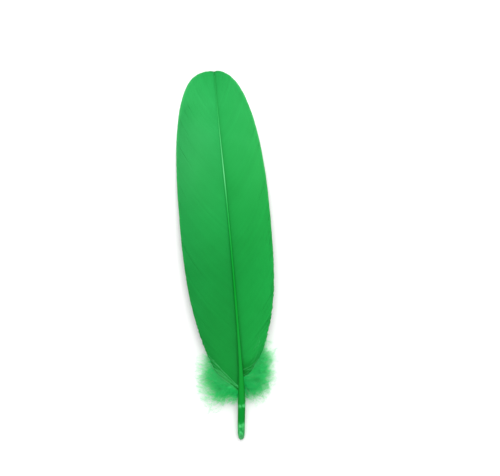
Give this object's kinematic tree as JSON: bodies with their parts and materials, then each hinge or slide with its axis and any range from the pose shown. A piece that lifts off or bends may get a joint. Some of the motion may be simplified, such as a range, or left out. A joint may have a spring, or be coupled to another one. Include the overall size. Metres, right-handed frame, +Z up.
{
  "type": "goose feather",
  "caption": "Broad wing feather lying flat, with a bare quill, a tapering shaft, a rounded vane on each side and loose down at the foot of the vanes.",
  "frame": {"origin": "on the surface that the feather lies on, under the middle of its length and width", "axes": "+Y along the feather from the quill's end to the tip, +X to the right of the shaft seen from above, +Z up out of the upper side"},
  "size_m": [0.043, 0.175, 0.0086],
  "materials": {
    "feather": "satin"
  },
  "bodies": {
    "root": {"feather": "feather"}
  },
  "joints": []
}
